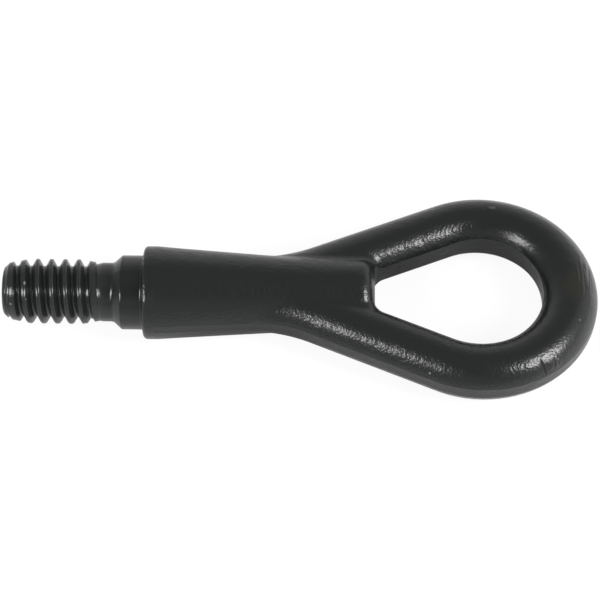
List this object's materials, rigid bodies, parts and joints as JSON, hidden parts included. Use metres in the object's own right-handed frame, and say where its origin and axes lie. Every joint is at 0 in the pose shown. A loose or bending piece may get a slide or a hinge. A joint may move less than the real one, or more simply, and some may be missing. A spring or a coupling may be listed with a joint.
{
  "type": "tow eye",
  "caption": "Forged black-painted screw-in tow eye: coarse thread, plain neck, pilot collar and tapered round stem opening into a teardrop loop with a punched inner wall.",
  "frame": {"origin": "centre of the shoulder's seat, on the screw's axis", "axes": "+X along the screw's axis from the thread to the eye, +Y across the eye in its plane, +Z square to the eye's plane and up when it lies down"},
  "size_m": [0.1734, 0.0678, 0.0272],
  "materials": {
    "black_paint": "semi-gloss"
  },
  "bodies": {
    "root": {"tow_eye": "black_paint"}
  },
  "joints": []
}
